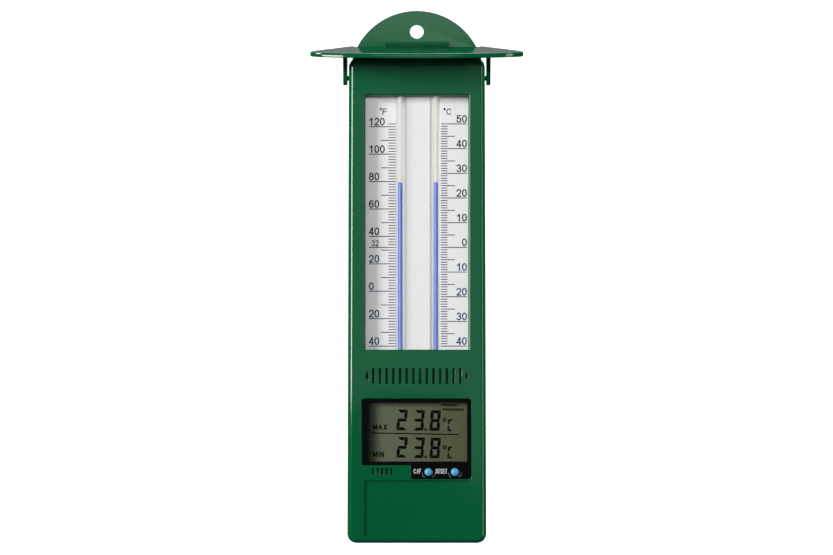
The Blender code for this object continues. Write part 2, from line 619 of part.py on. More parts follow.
def make_battery(jacket, steel, red, black):
    """AAA cell between its spring and its contact plate, and the wires to the circuit board."""
    x, y, z = CELL_CENTRE
    half = CELL_LENGTH / 2
    nub = 0.8 * MM
    bm = bmesh.new()
    add_turned(bm, [(CELL_RADIUS - 0.4 * MM, -half), (CELL_RADIUS, -half + 0.4 * MM),
                    (CELL_RADIUS, half - nub - 0.4 * MM), (CELL_RADIUS - 0.4 * MM, half - nub),
                    (1.9 * MM, half - nub), (1.9 * MM, half)], 24, CELL_CENTRE, "X")
    make_object("battery", bm, jacket, origin=CELL_CENTRE)
    new_box("battery_contact_plate", steel, (x + half + GAP, x + half + GAP + 0.5 * MM),
            (y - 3.5 * MM, y + 3.5 * MM), (z - 4.5 * MM, z + 4.5 * MM))
    make_spring(steel, -TRAY_HALF + 0.2 * MM)
    plate_x = (x + half + GAP) / MM
    make_wire("wire_positive", red, [(plate_x, -9.3, -207.9), (23.6, -9.3, -206.0), (22.6, -9.6, -203.4),
                                     (21.0, -11.0, -201.2), (20.2, -12.7, -200.4)])
    make_wire("wire_negative", black, [(-22.9, -9.3, -208.4), (-22.9, -9.3, -206.0), (-22.0, -9.6, -203.4),
                                       (-20.6, -11.0, -201.2), (-20.0, -12.7, -200.4)])


def make_battery_door(green):
    """Door of the battery compartment: a plate with a lip down each side and a ribbed grip."""
    origin = (0, DOOR_BACK, DOOR_TOP)
    section = [(DOOR_HALF, DOOR_BACK), (DOOR_HALF, DOOR_LIP_BACK), (DOOR_HALF + DOOR_LIP, DOOR_LIP_BACK),
               (DOOR_HALF + DOOR_LIP, DOOR_FRONT)]
    section += [(-x, y) for x, y in reversed(section)]
    bm = bmesh.new()
    add_loft(bm, [[(x, y, z) for x, y in section] for z in (DOOR_BOTTOM, DOOR_TOP)])
    door = make_object("battery_door", bm, green, origin=origin)
    grip = bmesh.new()
    for i in range(5):
        level = DOOR_BOTTOM + (4.5 + 1.8 * i) * MM
        add_box(grip, (-8 * MM, 8 * MM), (1 * MM, DOOR_BACK - 0.5 * MM), (level, level + 0.9 * MM))
    combine(door, grip, "DIFFERENCE")


# ---------------------------------------------------------------- rain hood

def hood_surface(x, y, drop):
    """Point of the hood a distance below its sloping top."""
    return (x, y, HOOD_TOP_AT_COVER + (y - COVER_FRONT) * HOOD_SLOPE - drop)


def make_rain_hood(green):
    """Sloping visor, notched round the lug, with an arm and an inward pin on each side."""
    pivot = (0, PIVOT_Y, PIVOT_Z)
    widest = HOOD_BOW - HOOD_REACH
    front = [(HOOD_HALF * math.cos(math.pi * i / 48), widest - HOOD_BOW * math.sin(math.pi * i / 48))
             for i in range(49)]
    # each side runs straight out from the wall, then curves into the widest line
    curve = list(zip((HOOD_HALF - 2.1 * MM, widest + 5.2 * MM), (HOOD_HALF, widest + 2.2 * MM),
                     (HOOD_HALF, widest)))
    side = [tuple((1 - t) ** 2 * a + 2 * t * (1 - t) * b + t ** 2 * c for a, b, c in curve)
            for t in (0, 0.2, 0.4, 0.6, 0.8)]
    notch_y = COVER_FRONT - GAP
    left = [(-x, y) for x, y in side[::-1]] + [(-HOOD_REAR_HALF, HOOD_REAR)]
    right = [(HOOD_REAR_HALF, HOOD_REAR)] + side
    outline = front + left + [(-NOTCH_HALF, HOOD_REAR), (-NOTCH_HALF, notch_y),
                              (NOTCH_HALF, notch_y), (NOTCH_HALF, HOOD_REAR)] + right
    bm = bmesh.new()
    add_loft(bm, [[hood_surface(x, y, drop) for x, y in outline] for drop in (0, HOOD_THICK)])
    hood = make_object("rain_hood", bm, green, origin=pivot)
    soften_edges(hood, 0.5 * MM)

    arms = bmesh.new()
    ear = 3.2 * MM
    tops = [(y, hood_surface(0, y, 0.9 * MM)[2]) for y in (-5.6 * MM, -17.5 * MM)]
    for side in (-1, 1):
        profile = tops + arc((PIVOT_Y, PIVOT_Z), ear, 170, 370, 10)
        inner = side * ARM_INNER
        outer = side * ARM_OUTER
        add_loft(arms, [[(x, y, z) for y, z in profile] for x in (inner, outer)])
    combine(hood, arms, "UNION")
    pins = bmesh.new()
    for side in (-1, 1):
        ends = sorted((side * (CASE_HALF_TOP - 1.2 * MM), side * (ARM_INNER + 0.8 * MM)))
        add_turned(pins, [(PIN_RADIUS, x) for x in ends], 16, pivot, "X")
    combine(hood, pins, "UNION")


# ---------------------------------------------------------------- the thermometer

def main():
    for old in list(bpy.data.objects):
        bpy.data.objects.remove(old, do_unlink=True)

    green = make_material("green_plastic", (0.010, 0.115, 0.050), 0.42)
    white = make_material("white_plastic", (0.80, 0.81, 0.82), 0.45)
    glass = make_material("tube_glass", (0.93, 0.95, 0.93), 0.05, alpha=0.35)
    liquid = make_material("blue_liquid", (0.09, 0.17, 0.70), 0.2)
    black = make_material("black_plastic", (0.006, 0.006, 0.009), 0.3)
    clear = make_material("clear_plastic", (0.90, 0.92, 0.90), 0.05, alpha=0.2)
    lcd = make_material("lcd_glass", (0.16, 0.17, 0.12), 0.2)
    rubber = make_material("connector_rubber", (0.55, 0.50, 0.50), 0.7)
    board_green = make_material("circuit_laminate", (0.02, 0.16, 0.07), 0.35)
    steel = make_material("plated_steel", (0.62, 0.62, 0.62), 0.3, 1.0)
    blue = make_material("button_blue", (0.10, 0.38, 0.72), 0.4)
    jacket = make_material("battery_jacket", (0.09, 0.10, 0.12), 0.35, 0.6)
    red = make_material("red_insulation", (0.50, 0.02, 0.02), 0.5)

    make_front_housing(green)
    make_back_cover(green)
    for number, (x, z) in enumerate(COVER_SCREWS, 1):
        make_screw(f"cover_screw_{number}", steel, (x * MM, -0.05 * MM, z * MM),
                   (2.55 * MM, 1.0 * MM), (1.1 * MM, 9.5 * MM))
    make_scale_plate(white)
    for side in TUBE_X:
        make_tube(side, glass, liquid)
    make_bezel(black)
    make_display(clear, lcd, rubber)
    make_circuit_board(board_green, steel, black)
    make_thermistor(black)
    for name in BUTTON_X:
        make_button(name, blue, black, white)
    make_battery(jacket, steel, red, black)
    make_battery_door(green)
    make_rain_hood(green)


main()
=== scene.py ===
import math

import bmesh
import bpy
import numpy as np
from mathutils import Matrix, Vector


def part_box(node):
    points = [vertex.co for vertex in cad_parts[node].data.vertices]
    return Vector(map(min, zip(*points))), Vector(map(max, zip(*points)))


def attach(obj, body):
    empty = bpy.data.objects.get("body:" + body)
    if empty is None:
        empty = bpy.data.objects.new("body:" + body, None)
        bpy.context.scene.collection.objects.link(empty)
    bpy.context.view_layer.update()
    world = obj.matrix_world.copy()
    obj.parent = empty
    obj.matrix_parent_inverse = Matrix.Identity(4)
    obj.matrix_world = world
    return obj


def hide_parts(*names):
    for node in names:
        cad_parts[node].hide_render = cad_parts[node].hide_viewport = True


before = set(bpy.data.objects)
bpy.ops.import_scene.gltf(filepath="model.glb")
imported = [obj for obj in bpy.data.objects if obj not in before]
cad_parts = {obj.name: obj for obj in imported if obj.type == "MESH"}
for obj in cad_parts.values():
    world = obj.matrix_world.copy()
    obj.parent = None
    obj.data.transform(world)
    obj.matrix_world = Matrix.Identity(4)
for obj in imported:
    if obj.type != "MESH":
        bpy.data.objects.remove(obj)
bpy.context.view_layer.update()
mm = 0.001
inkDepth = 0.02 * mm          # thickness of a print
sharpEdge = math.radians(35)          # edges of new pieces that bend more than this stay sharp
poleGap = 0.01 * mm           # how far turned shapes keep from their axis; a flat face closes them


class Wire:
    # one output of a node; arithmetic on wires adds Math nodes to their tree
    def __init__(self, tree, socket=None):
        self.tree = tree
        self.socket = socket

    def node(self, kind, settings=None, inputs=None, output=0):
        # any node: its settings first, then a value or a wire for each socket
        made = self.tree.nodes.new(kind)
        for key, value in (settings or {}).items():
            setattr(made, key, value)
        for key, value in (inputs or {}).items():
            if isinstance(value, Wire):
                self.tree.links.new(value.socket, made.inputs[key])
            else:
                made.inputs[key].default_value = value
        return Wire(self.tree, made.outputs[output])

    def maths(self, operation, *terms):
        return self.node("ShaderNodeMath", {"operation": operation}, dict(enumerate(terms)))

    def __add__(self, other):
        return self.maths("ADD", self, other)

    def __sub__(self, other):
        return self.maths("SUBTRACT", self, other)

    def __rsub__(self, other):
        return self.maths("SUBTRACT", other, self)

    def __mul__(self, other):
        return self.maths("MULTIPLY", self, other)

    __radd__ = __add__
    __rmul__ = __mul__

    def absolute(self):
        return self.maths("ABSOLUTE", self)

    def above(self, level):
        # 1 where this wire is greater than level, and 0 elsewhere
        return self.maths("GREATER_THAN", self, level)

    def fade(self, start, end, first=0.0, last=1.0):
        # smooth step from first to last as this wire goes from start to end
        return self.node("ShaderNodeMapRange", {"interpolation_type": "SMOOTHSTEP"},
                         {"Value": self, "From Min": start, "From Max": end, "To Min": first,
                          "To Max": last})

    def mixed(self, low, high):
        # colour that goes from low to high as this wire goes from 0 to 1
        return self.node("ShaderNodeMix", {"data_type": "RGBA"}, {0: self, 6: low, 7: high}, 2)

    def axis(self, name):
        return self.node("ShaderNodeSeparateXYZ", None, {0: self}, "XYZ".index(name))

    def noise(self, size, detail=2.0):
        # soft noise whose blotches measure about size metres
        return self.node("ShaderNodeTexNoise", None,
                         {"Vector": self, "Scale": 1 / size, "Detail": detail})

    def mapped(self, **settings):
        # coordinates that are moved by Location, turned by Rotation or stretched by Scale
        return self.node("ShaderNodeMapping", None, {"Vector": self, **settings})


def newMaterial(name):
    # material with a Principled shader; returns both of them and the Object coordinates
    material = bpy.data.materials.new(name)
    material.use_nodes = True
    tree = material.node_tree
    shader = tree.nodes["Principled BSDF"]
    place = Wire(tree).node("ShaderNodeTexCoord", None, None, 3)
    return material, shader, place


def plug(shader, **values):
    # set or link the shader's sockets; an underscore in a name stands for a space
    for key, value in values.items():
        socket = shader.inputs[key.replace("_", " ")]
        if isinstance(value, Wire):
            value.tree.links.new(value.socket, socket)
        else:
            socket.default_value = value


def bumped(height, depth, strength):
    # normal that follows a height of 0 to 1, depth metres tall
    return height.node("ShaderNodeBump", None,
                       {"Strength": strength, "Distance": depth, "Height": height})


def greenPlastic(name, base, seed):
    # moulded dark green: slow drift of colour, faint mottling and a fine spark-eroded grain;
    # the seed moves the pattern, so that no two mouldings have the same one
    material, shader, place = newMaterial(name)
    moved = place.mapped(Location=(seed, seed * 0.7, 0))
    drift = moved.noise(0.045, 1)
    mottle = moved.noise(0.0016, 3)
    grain = moved.noise(0.00035, 2)
    tone = drift * 0.7 + mottle * 0.3
    dark = tuple(value * 0.90 for value in base)
    light = tuple(value * 1.10 for value in base)
    plug(shader, Base_Color=tone.mixed((*dark, 1), (*light, 1)),
         Roughness=0.05 + mottle * 0.04 + drift * 0.03,
         Normal=bumped(grain * 0.7 + mottle * 0.3, 0.004 * mm, 0.5))
    return material


def whitePlastic(name, base, paintedShadeLines=()):
    # smooth white moulding with the faintest ripple, and a soft painted shade, standing in for
    # shadow, along each edge of the raised strip between the tubes; each is (its x, half its width,
    # how dark it is)
    material, shader, place = newMaterial(name)
    ripple = place.noise(0.004, 2)
    dark = tuple(value * 0.97 for value in base)
    colour = ripple.mixed((*dark, 1), (*base, 1))
    for x, half, depth in paintedShadeLines:
        # painted shade: the colour is darkened towards black near each line's x, in place of the
        # shadow there
        shade = (place.axis("X") - x).absolute().fade(0.0, half, depth, 0.0)
        colour = shade.mixed(colour, (0.0, 0.0, 0.0, 1))
    plug(shader, Base_Color=colour, Roughness=0.38 + ripple * 0.12,
         Normal=bumped(ripple, 0.01 * mm, 0.4))
    return material


def printedInk(name, base, shine=0.3):
    # screen-printed ink, whose density changes a little along a stroke
    material, shader, place = newMaterial(name)
    density = place.noise(0.0007, 2)
    light = tuple(value * 1.5 + 0.004 for value in base)
    plug(shader, Base_Color=density.mixed((*base, 1), (*light, 1)), Roughness=0.42 + density * 0.2)
    shader.inputs["Specular IOR Level"].default_value = shine
    return material


def tubeGlass(name, middle, bore, bulbTop, liquidTop):
    # milky in the wall and above the liquid, clear in front of the liquid and round the bulb, with
    # a grey line along each edge of the bore
    lineHalf = 0.11 * mm
    opacity = {"least": 0.01, "stem": 0.04, "milk": 0.42, "edge": 0.1}
    material, shader, place = newMaterial(name)
    edge = place.node("ShaderNodeLayerWeight", None, {"Blend": 0.35}, 1)
    aside = (place.axis("X") - middle).absolute()
    stem = place.axis("Z").above(bulbTop)
    milk = stem.maths("MAXIMUM", aside.above(bore), place.axis("Z").above(liquidTop))
    line = 1 - (aside - bore).absolute().above(lineHalf)
    cloud = place.noise(0.003, 2)
    pale = cloud.mixed((0.71, 0.71, 0.675, 1), (0.76, 0.76, 0.725, 1))
    plug(shader, Base_Color=line.mixed(pale, (0.52, 0.52, 0.50, 1)), Roughness=0.16,
         Alpha=stem * (opacity["stem"] + milk * opacity["milk"] + edge * edge * opacity["edge"])
         + opacity["least"])
    shader.inputs["Specular IOR Level"].default_value = 0.12
    return material


def clearPane(name):
    # clear sheet, a little hazy, that shows more at a slant
    material, shader, place = newMaterial(name)
    haze = place.noise(0.012, 1)
    edge = place.node("ShaderNodeLayerWeight", None, {"Blend": 0.3}, 0)
    plug(shader, Base_Color=(0.01, 0.012, 0.01, 1), Roughness=0.05 + haze * 0.05,
         Alpha=0.03 + edge * 0.3)
    return material


def blueLiquid(name, bulbTop):
    # clear blue in the thin column, with painted shade that deepens it towards its edges, and
    # painted shade that makes it near black in the bulb, which lies in shade inside the case
    material, shader, place = newMaterial(name)
    cloud = place.noise(0.003, 2)
    edge = place.node("ShaderNodeLayerWeight", None, {"Blend": 0.5}, 1)
    middle = cloud.mixed((0.09, 0.20, 0.66, 1), (0.12, 0.24, 0.72, 1))
    # painted shade: deeper blue where the column's surface turns away from view
    column = (edge * 1.25).mixed(middle, (0.010, 0.035, 0.30, 1))
    # painted shade: near black below the given height, where the bulb lies in shade inside the case
    paintedBulbShade = 1 - place.axis("Z").above(bulbTop)
    plug(shader, Base_Color=paintedBulbShade.mixed(column, (0.001, 0.002, 0.008, 1)),
         Roughness=0.2 + cloud * 0.08)
    shader.inputs["Specular IOR Level"].default_value = 0.3
    return material


def blackPlastic(name, gloss):
    # black moulding, with a fine grain that only its reflections show
    material, shader, place = newMaterial(name)
    grain = place.noise(0.0004, 2)
    plug(shader, Base_Color=grain.mixed((0.0012, 0.0018, 0.0016, 1), (0.003, 0.0038, 0.0036, 1)),
         Roughness=gloss + grain * 0.12, Normal=bumped(grain, 0.006 * mm, 0.5))
    shader.inputs["Specular IOR Level"].default_value = 0.07
    return material


def lcdGlass(name, low, high):
    # grey-green polariser over a brushed reflector, yellower to the right; the frame's shadow lies
    # on its left and upper edges, and there its colour fades to near black
    shadow = {"left": (0.0, 8.5 * mm), "top": (-1.5 * mm, 4.2 * mm)}
    material, shader, place = newMaterial(name)
    fromLeft = place.axis("X") - low.x
    fromTop = high.z - place.axis("Z")
    reflector = place.mapped(Scale=(0.15, 1, 1)).noise(0.0006, 2)
    cloud = place.noise(0.012, 2)
    tone = fromLeft * (0.75 / (high.x - low.x)) + cloud * 0.5
    plain = tone.mixed((0.184, 0.218, 0.154, 1), (0.126, 0.137, 0.068, 1))
    light = fromLeft.fade(*shadow["left"]) * fromTop.fade(*shadow["top"]) * (0.82 + reflector * 0.3)
    plug(shader, Base_Color=light.mixed((0.008, 0.011, 0.006, 1), plain),
         Roughness=0.4 + reflector * 0.12)
    shader.inputs["Specular IOR Level"].default_value = 0.05
    return material


def buttonBlue(name):
    # sky-blue moulding, faintly cloudy
    material, shader, place = newMaterial(name)
    cloud = place.noise(0.0012, 2)
    plug(shader, Base_Color=cloud.mixed((0.055, 0.345, 0.625, 1), (0.085, 0.41, 0.70, 1)),
         Roughness=0.36 + cloud * 0.12, Normal=bumped(cloud, 0.02 * mm, 0.4))
    return material


def platedSteel(name):
    # zinc plate, patchy in brightness and gloss
    material, shader, place = newMaterial(name)
    patches = place.noise(0.0008, 3)
    plug(shader, Base_Color=patches.mixed((0.50, 0.51, 0.53, 1), (0.72, 0.73, 0.74, 1)),
         Metallic=1.0, Roughness=0.22 + patches * 0.2, Normal=bumped(patches, 0.01 * mm, 0.4))
    return material


def circuitLaminate(name):
    # solder mask, with copper tracks that show as lighter lines
    material, shader, place = newMaterial(name)
    tracks = place.node("ShaderNodeTexBrick", {"offset": 0.37},
                        {"Vector": place.mapped(Rotation=(math.pi / 2, 0, 0)), "Scale": 230.0,
                         "Color1": (0, 0, 0, 1), "Color2": (0, 0, 0, 1), "Mortar": (1, 1, 1, 1),
                         "Mortar Size": 0.035, "Mortar Smooth": 0.2}, 1)
    plug(shader, Base_Color=tracks.mixed((0.010, 0.10, 0.035, 1), (0.03, 0.20, 0.07, 1)),
         Roughness=0.26 + place.noise(0.001) * 0.1, Normal=bumped(tracks, 0.04 * mm, 0.6))
    return material


def stripedRubber(name):
    # connector strip: thin dark conductors across a pale rubber
    material, shader, place = newMaterial(name)
    stripes = place.node("ShaderNodeTexWave", {"bands_direction": "X"},
                         {"Vector": place, "Scale": 1000.0}, 1)
    plug(shader, Base_Color=stripes.mixed((0.60, 0.52, 0.50, 1), (0.03, 0.03, 0.03, 1)),
         Roughness=0.6 + place.noise(0.0008) * 0.2)
    return material


def batteryJacket(name, low, high):
    # printed jacket with bare metal at both ends and one plain band
    material, shader, place = newMaterial(name)
    along = (place.axis("X") - low) * (1 / (high - low))
    printed = along.maths("COMPARE", along, 0.5, 0.46)          # 0 on the bare ends
    band = along.above(0.72)
    scuff = place.noise(0.0009, 3)
    jacket = band.mixed((0.012, 0.014, 0.018, 1), (0.55, 0.30, 0.06, 1))
    plug(shader, Base_Color=printed.mixed((0.62, 0.62, 0.62, 1), jacket),
         Metallic=1 - printed * 0.75, Roughness=0.24 + scuff * 0.18)
    return material


def insulation(name, base):
    # coloured sleeve of a wire, a little cloudy
    material, shader, place = newMaterial(name)
    cloud = place.noise(0.0015, 2)
    light = tuple(value * 1.4 + 0.004 for value in base)
    plug(shader, Base_Color=cloud.mixed((*base, 1), (*light, 1)), Roughness=0.4 + cloud * 0.2)
    return material


def newPiece(name, points, faces, material, body, smooth=True):
    # piece from points and faces, on its body; a smooth one keeps the edges sharper than sharpEdge
    mesh = bpy.data.meshes.new(name)
    mesh.from_pydata(np.asarray(points, float).reshape(-1, 3).tolist(), [],
                     [list(face) for face in faces])
    outwards = bmesh.new()
    outwards.from_mesh(mesh)
    bmesh.ops.recalc_face_normals(outwards, faces=outwards.faces)
    outwards.to_mesh(mesh)
    outwards.free()
    mesh.materials.append(material)
    if smooth:
        mesh.shade_smooth()
        mesh.set_sharp_from_angle(angle=sharpEdge)
    made = bpy.data.objects.new(name, mesh)
    bpy.context.scene.collection.objects.link(made)
    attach(made, body)
    return made


def gridFaces(rows, columns):
    # quads of a grid of points that is stored row by row, its last column joined to its first
    i, j = np.meshgrid(np.arange(rows - 1), np.arange(columns), indexing="ij")
    k = (j + 1) % columns
    quads = np.stack((i * columns + j, i * columns + k, (i + 1) * columns + k,
                      (i + 1) * columns + j), -1)
    return quads.reshape(-1, 4).tolist()


def turnedSurface(profile, place, axis, count):
    # profile of (radius, height) pairs turned about an axis through place:
    # (r cos a, r sin a, h), where a goes once round; a flat face closes each end
    radius, height = np.array(profile, float).T
    angle = np.linspace(0, 2 * np.pi, count, endpoint=False)
    flat = np.stack((radius[:, None] * np.cos(angle), radius[:, None] * np.sin(angle),
                     np.repeat(height[:, None], count, 1)), -1)
    order = {"Z": (0, 1, 2), "Y": (1, 2, 0)}[axis]
    points = flat[..., order].reshape(-1, 3) + np.array(place)
    faces = gridFaces(len(profile), count)
    faces.append(list(range(count))[::-1])
    faces.append(list(range((len(profile) - 1) * count, len(profile) * count)))
    return points, faces


def bowl(radius, bottom):
    # round foot of a turned profile: (r sin a, bottom + r - r cos a), with a from 0 to 90 degrees
    angle = np.linspace(0, np.pi / 2, 8)
    return np.stack((radius * np.sin(angle) + poleGap, bottom + radius * (1 - np.cos(angle))), 1)


def slabs(corners, back, front):
    # thin printed boxes: one for each (left, right, bottom, top), from one depth to another
    left, right, bottom, top = np.array(corners, float).T
    x = np.stack((left, right, right, left), 1)
    z = np.stack((bottom, bottom, top, top), 1)
    rings = [np.stack((x, np.full_like(x, depth), z), -1) for depth in (back, front)]
    points = np.concatenate(rings, 1)
    box = np.array([(0, 1, 2, 3), (7, 6, 5, 4), (0, 4, 5, 1), (1, 5, 6, 2), (2, 6, 7, 3),
                    (3, 7, 4, 0)])
    faces = (np.arange(len(points))[:, None, None] * 8 + box).reshape(-1, 4)
    return points.reshape(-1, 3), faces.tolist()


def flatShape(outline, back, front):
    # thin printed shape from an outline in the XZ plane, from one depth to another
    count = len(outline)
    x, z = np.array(outline, float).T
    points = np.concatenate([np.stack((x, np.full_like(x, depth), z), 1)
                             for depth in (back, front)])
    faces = [list(range(count)), list(range(count, 2 * count))]
    faces += [[i, count + i, count + (i + 1) % count, (i + 1) % count] for i in range(count)]
    return points, faces


def stroke(path, width, back, front):
    # flat bar carried along a path in the XZ plane: at each point its corners stand half its width
    # to either side of the mean direction; open ends reach half the width further, and a path that
    # ends where it starts becomes a ring
    path = np.array(path, float)
    ring = np.allclose(path[0], path[-1])
    steps = np.diff(path, axis=0)
    steps /= np.linalg.norm(steps, axis=1)[:, None]
    if ring:
        path = path[:-1]
        before, after = np.roll(steps, 1, 0), steps
    else:
        path[0] -= steps[0] * width / 2
        path[-1] += steps[-1] * width / 2
        before, after = np.vstack((steps[:1], steps)), np.vstack((steps, steps[-1:]))
    mean = before + after
    mean /= np.linalg.norm(mean, axis=1)[:, None]
    reach = width / 2 / np.maximum((mean * after).sum(1), 0.6)[:, None]
    side = np.stack((-mean[:, 1], mean[:, 0]), 1) * reach
    count = len(path)
    corners = [(path + side, front), (path - side, front), (path - side, back), (path + side, back)]
    points = np.stack([np.stack((flat[:, 0], np.full(count, depth), flat[:, 1]), 1)
                       for flat, depth in corners], 1)
    faces = gridFaces(count, 4)
    last = (count - 1) * 4
    if ring:
        faces += [[last + j, last + (j + 1) % 4, (j + 1) % 4, j] for j in range(4)]
    else:
        faces += [[0, 1, 2, 3], [last + j for j in range(4)]]
    return points.reshape(-1, 3), faces


def arc(x, z, across, up, start, end, count=17):
    # part of an ellipse about (x, z); its angles in degrees, anticlockwise from the right
    angle = np.radians(np.linspace(start, end, count))
    return list(zip(x + across * np.cos(angle), z + up * np.sin(angle)))


letters = {          # each letter's width next to a digit's, and its strokes in a box of 1 by 1
    "0": (1.0, [arc(0.5, 0.5, 0.5, 0.5, 0, 360, 33)]),
    "1": (1.0, [[(0.62, 0.0), (0.62, 1.0)], [(0.14, 0.74), (0.40, 0.85), (0.60, 0.98)]]),
    "2": (1.0, [arc(0.5, 0.72, 0.48, 0.28, 168, -22) + [(0.78, 0.44), (0.34, 0.20), (0.08, 0.04)],
                [(0.02, 0.0), (1.0, 0.0)]]),
    "3": (1.0, [arc(0.48, 0.75, 0.42, 0.25, 158, -80), arc(0.48, 0.26, 0.50, 0.26, 82, -160)]),
    "4": (1.0, [[(0.76, 0.0), (0.76, 1.0)], [(0.70, 0.96), (0.04, 0.30)],
                [(0.0, 0.26), (1.0, 0.26)]]),
    "5": (1.0, [[(0.90, 1.0), (0.22, 1.0)], [(0.20, 0.98), (0.10, 0.52)],
                arc(0.48, 0.33, 0.51, 0.33, 142, -160)]),
    "6": (1.0, [arc(0.5, 0.31, 0.48, 0.31, 0, 360, 29), arc(0.56, 0.5, 0.55, 0.5, 52, 190)]),
    "8": (1.0, [arc(0.5, 0.76, 0.42, 0.24, 0, 360, 27), arc(0.5, 0.27, 0.5, 0.27, 0, 360, 29)]),
    "C": (1.05, [arc(0.52, 0.5, 0.52, 0.5, 40, 320, 25)]),
    "F": (0.9, [[(0.0, 0.0), (0.0, 1.0)], [(0.0, 1.0), (1.0, 1.0)], [(0.0, 0.50), (0.86, 0.50)]]),
    "°": (0.42, [arc(0.5, 0.98, 0.5, 0.15, 0, 360, 21)]),
    "/": (0.6, [[(0.1, 0.0), (0.9, 1.0)]]),
    "R": (1.0, [[(0.0, 0.0), (0.0, 1.0)],
                [(0.0, 1.0), (0.5, 1.0)] + arc(0.55, 0.76, 0.42, 0.24, 80, -80, 9)
                + [(0.5, 0.5), (0.0, 0.5)], [(0.5, 0.5), (1.0, 0.0)]]),
    "E": (0.9, [[(0.0, 0.0), (0.0, 1.0)], [(0.0, 1.0), (1.0, 1.0)], [(0.0, 0.5), (0.9, 0.5)],
                [(0.0, 0.0), (1.0, 0.0)]]),
    "S": (0.95, [arc(0.5, 0.75, 0.46, 0.25, 25, 250), arc(0.5, 0.25, 0.5, 0.25, 72, -155)]),
    "T": (1.0, [[(0.0, 1.0), (1.0, 1.0)], [(0.5, 0.0), (0.5, 1.0)]]),
    "M": (1.25, [[(0.0, 0.0), (0.0, 1.0)], [(0.04, 0.94), (0.5, 0.1)], [(0.5, 0.1), (0.96, 0.94)],
                 [(1.0, 1.0), (1.0, 0.0)]]),
    "A": (1.2, [[(0.02, 0.0), (0.5, 0.98)], [(0.5, 0.98), (0.98, 0.0)],
                [(0.22, 0.32), (0.78, 0.32)]]),
    "X": (1.1, [[(0.04, 0.0), (0.96, 1.0)], [(0.04, 1.0), (0.96, 0.0)]]),
    "I": (0.2, [[(0.5, 0.0), (0.5, 1.0)]]),
    "N": (1.05, [[(0.0, 0.0), (0.0, 1.0)], [(0.02, 0.98), (0.98, 0.02)], [(1.0, 0.0), (1.0, 1.0)]])}


def lettering(text, style, corner, depth, align="LEFT"):
    # printed line of text; style holds a digit's height and width, the stroke and the gap between
    # letters, and corner is its lower left or lower right corner as (x, z)
    pen = style["stroke"]
    widths = [max(letters[letter][0] * style["width"], pen) for letter in text]
    starts = np.cumsum([0] + [width + style["gap"] for width in widths])
    left = corner[0] - (starts[-1] - style["gap"] if align == "RIGHT" else 0)
    parts = []
    for letter, start, width in zip(text, starts, widths):
        size = np.array((width - pen, style["height"] - pen))
        place = np.array((left + start + pen / 2, corner[1] + pen / 2))
        parts += [stroke(np.array(path) * size + place, pen, depth, depth - inkDepth)
                  for path in letters[letter][1]]
    return joined(parts)


def joined(parts):
    # several (points, faces) pairs as one
    points, faces = [], []
    for morePoints, moreFaces in parts:
        faces += [[len(points) + i for i in face] for face in moreFaces]
        points += np.asarray(morePoints).tolist()
    return points, faces


def rebuilt(node, name, body, material, facets=30):
    # copy of a CAD solid with its loose triangles merged and its flat faces made whole, so that its
    # round faces shade smoothly; edges that bend more than facets degrees stay sharp
    merge = {"distance": 0.002 * mm, "angle": math.radians(0.6)}
    solid = bmesh.new()
    solid.from_mesh(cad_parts[node].data)
    bmesh.ops.remove_doubles(solid, verts=solid.verts, dist=merge["distance"])
    bmesh.ops.dissolve_limit(solid, angle_limit=merge["angle"], verts=solid.verts,
                             edges=solid.edges, use_dissolve_boundaries=False, delimit={"NORMAL"})
    mesh = bpy.data.meshes.new(name)
    solid.to_mesh(mesh)
    solid.free()
    mesh.materials.append(material)
    mesh.shade_smooth()
    mesh.set_sharp_from_angle(angle=math.radians(facets))
    made = bpy.data.objects.new(name, mesh)
    bpy.context.scene.collection.objects.link(made)
    weighted = made.modifiers.new("Weighted", "WEIGHTED_NORMAL")
    weighted.keep_sharp = True
    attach(made, body)
    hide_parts(node)


def paint(material, *nodes):
    # finish for CAD nodes that keep their own shape
    for node in nodes:
        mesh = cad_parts[node].data
        mesh.materials.clear()
        mesh.materials.append(material)


